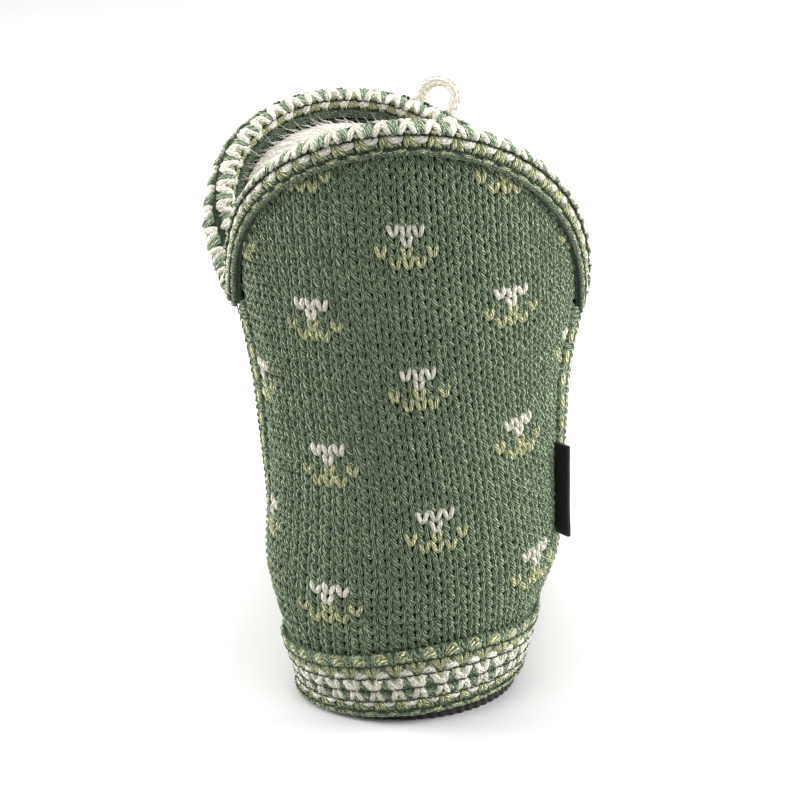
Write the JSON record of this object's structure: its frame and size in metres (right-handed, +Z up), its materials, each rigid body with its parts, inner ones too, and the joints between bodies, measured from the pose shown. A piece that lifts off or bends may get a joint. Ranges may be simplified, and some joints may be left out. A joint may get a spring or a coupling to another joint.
{
  "type": "bootie slipper",
  "caption": "Slip-on knitted ankle bootie slipper for the right foot, with a bound collar that dips at the sides, taped seams, a pull loop and a ribbed rubber sole",
  "frame": {"origin": "on the floor, under the middle of the heel seat", "axes": "the toe points along +Y, the outer side of the foot along +X, and +Z is up"},
  "size_m": [0.1091, 0.2619, 0.1733],
  "materials": {
    "outsole": "matt dark grey-brown rubber",
    "insole": "cream pile",
    "upper": "sage green knit with a pale sprig pattern",
    "tape": "knitted tape in green, white and pistachio",
    "loop": "cream knitted cord",
    "label": "bare black woven tape"
  },
  "bodies": {
    "root": {"outsole": "outsole", "insole": "insole", "upper": "upper", "sole_band": "tape", "collar_binding": "tape", "side_tape_outer": "tape", "side_tape_inner": "tape", "pull_loop": "loop", "side_label": "label"}
  },
  "joints": []
}
